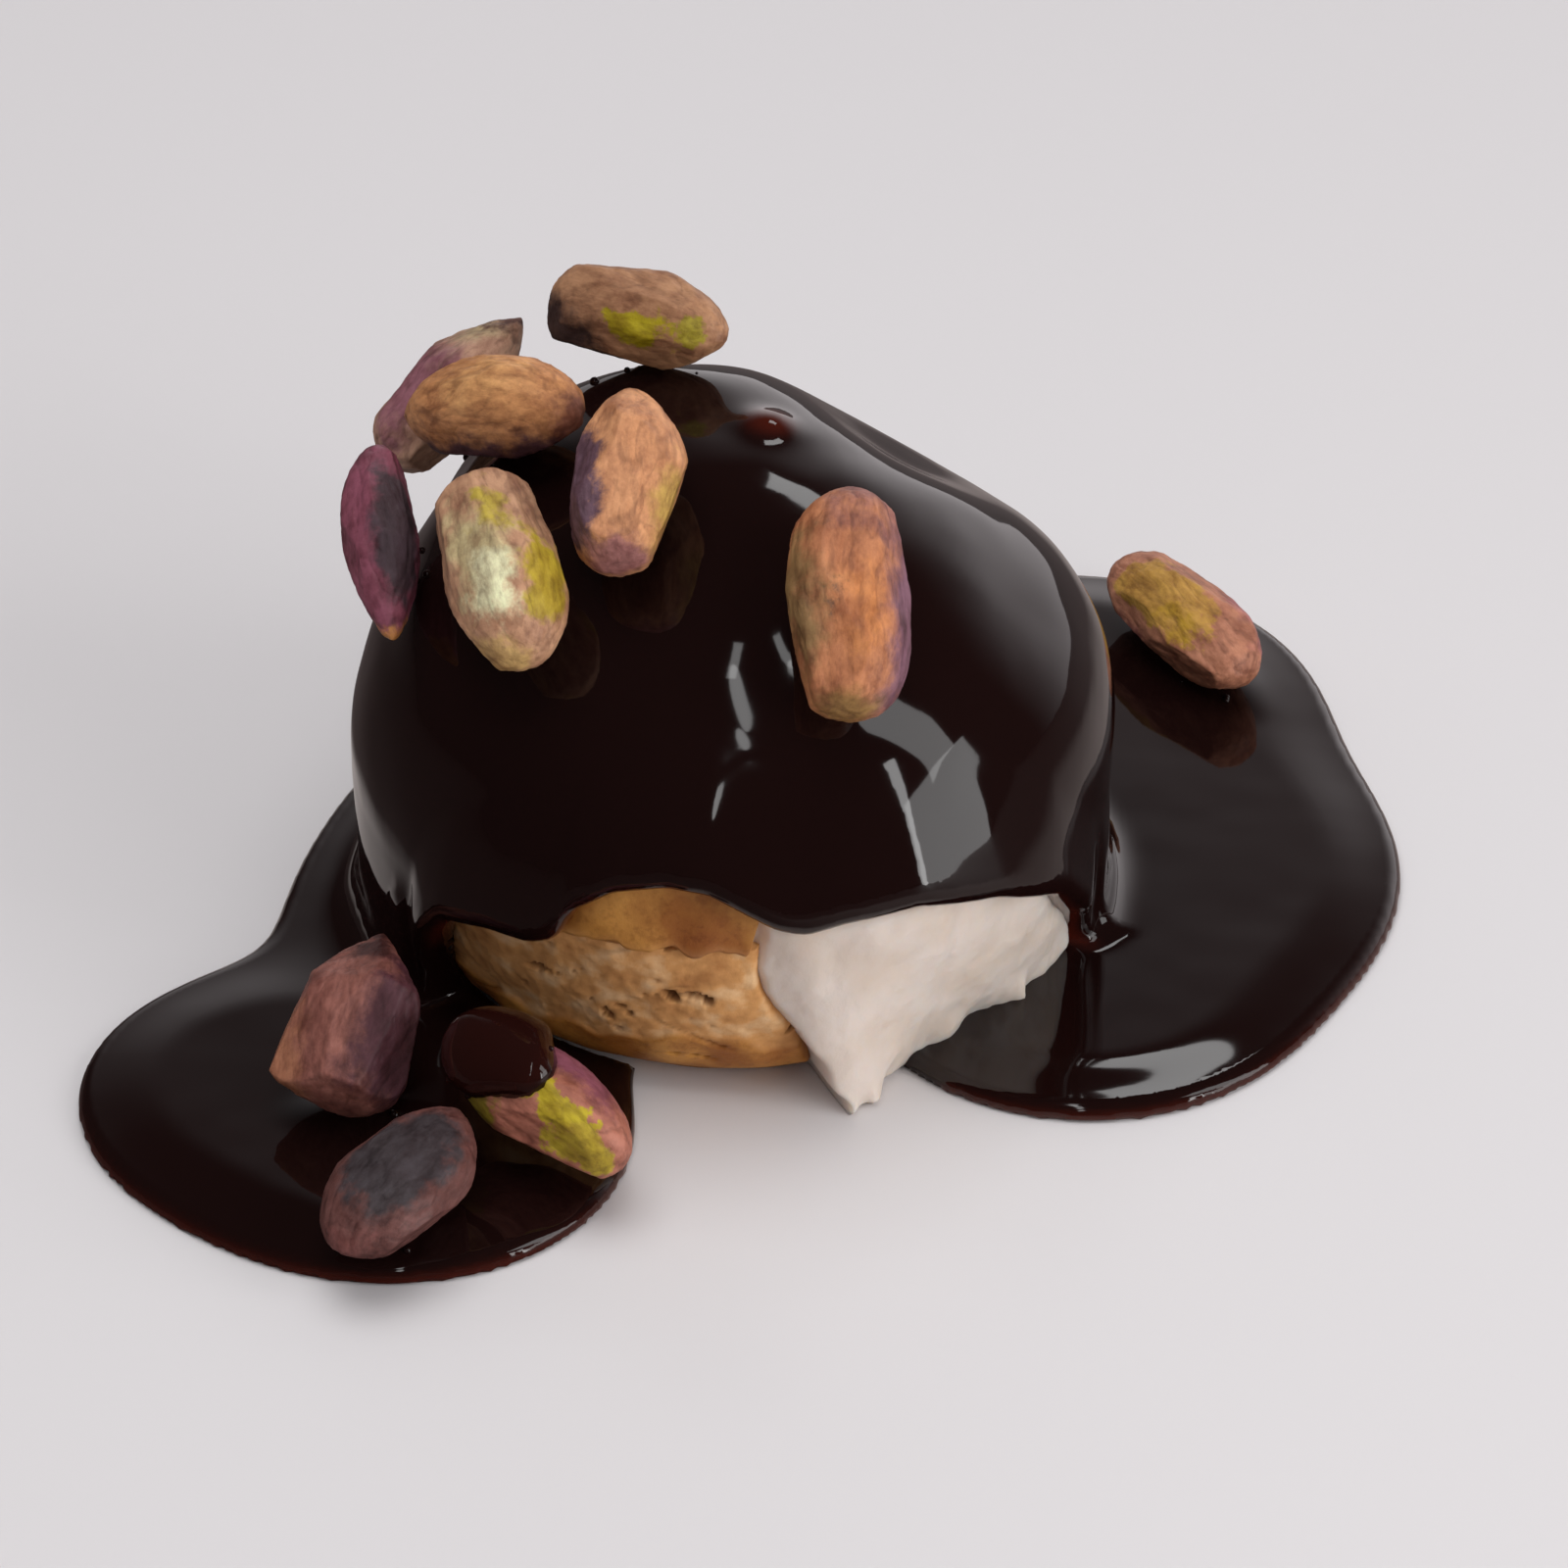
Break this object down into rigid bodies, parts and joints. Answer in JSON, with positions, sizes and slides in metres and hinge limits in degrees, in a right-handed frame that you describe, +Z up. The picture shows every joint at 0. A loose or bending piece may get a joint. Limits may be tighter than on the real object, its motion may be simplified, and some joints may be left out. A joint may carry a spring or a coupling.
{
  "type": "cream puff",
  "caption": "Choux bun split and filled with cream, coated in glossy dark chocolate sauce that pools round its foot, with shelled pistachio kernels on the coat and in the pool.",
  "frame": {"origin": "centre of the bun's flat underside, on the surface it stands on", "axes": "+Z up; -Y towards the side with the open edge where the crust and the cream show; +X to the right seen from there"},
  "size_m": [0.0884, 0.0846, 0.0436],
  "materials": {
    "choux_base": "baked choux pastry, porous where it is torn, matt",
    "choux_top": "baked choux pastry crust, satin",
    "cream": "whipped cream, soft satin",
    "sauce": "dark chocolate sauce, high gloss",
    "pistachio_1": "shelled pistachio kernel in its skin, matt",
    "pistachio_2": "shelled pistachio kernel in its skin, matt",
    "pistachio_3": "shelled pistachio kernel in its skin, matt",
    "pistachio_4": "shelled pistachio kernel in its skin, matt",
    "pistachio_5": "shelled pistachio kernel in its skin, matt",
    "pistachio_6": "shelled pistachio kernel in its skin, matt",
    "pistachio_7": "shelled pistachio kernel in its skin, matt",
    "pistachio_8": "shelled pistachio kernel in its skin, matt",
    "pistachio_9": "shelled pistachio kernel in its skin, matt",
    "pistachio_10": "shelled pistachio kernel in its skin, matt",
    "pistachio_11": "shelled pistachio kernel in its skin, matt"
  },
  "bodies": {
    "root": {"choux_base": "choux_base", "choux_top": "choux_top", "cream": "cream", "sauce": "sauce", "pistachio_1": "pistachio_1", "pistachio_2": "pistachio_2", "pistachio_3": "pistachio_3", "pistachio_4": "pistachio_4", "pistachio_5": "pistachio_5", "pistachio_6": "pistachio_6", "pistachio_7": "pistachio_7", "pistachio_8": "pistachio_8", "pistachio_9": "pistachio_9", "pistachio_10": "pistachio_10", "pistachio_11": "pistachio_11"}
  },
  "joints": []
}
